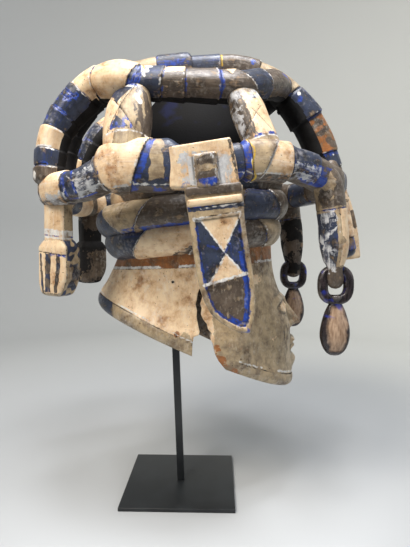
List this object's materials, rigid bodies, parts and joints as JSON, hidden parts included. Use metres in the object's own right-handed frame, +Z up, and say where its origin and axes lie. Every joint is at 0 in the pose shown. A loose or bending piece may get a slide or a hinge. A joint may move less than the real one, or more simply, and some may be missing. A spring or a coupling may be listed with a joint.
{
  "type": "gelede helmet mask on a stand",
  "caption": "Carved wooden helmet mask with a calm face, coiled headwrap, openwork cage of bands, side sheaths and link pendants, on a steel rod and square foot.",
  "frame": {"origin": "middle of the stand plate's underside", "axes": "+Z up, +X the way the mask faces, -Y the mask's right side; the plate is turned 5 degrees about Z"},
  "size_m": [0.4627, 0.354, 0.6218],
  "materials": {
    "painted_wood": "worn matt paint in cream, indigo, bright blue and ochre over carved wood, with white clay in the cuts",
    "dark_wood": "dark wood with a rubbed gloss",
    "black_steel": "satin black coating"
  },
  "bodies": {
    "root": {"mask": "painted_wood", "link_pendant_right": "dark_wood", "link_pendant_left": "dark_wood", "stand_plate": "black_steel", "stand_rod": "black_steel"}
  },
  "joints": []
}
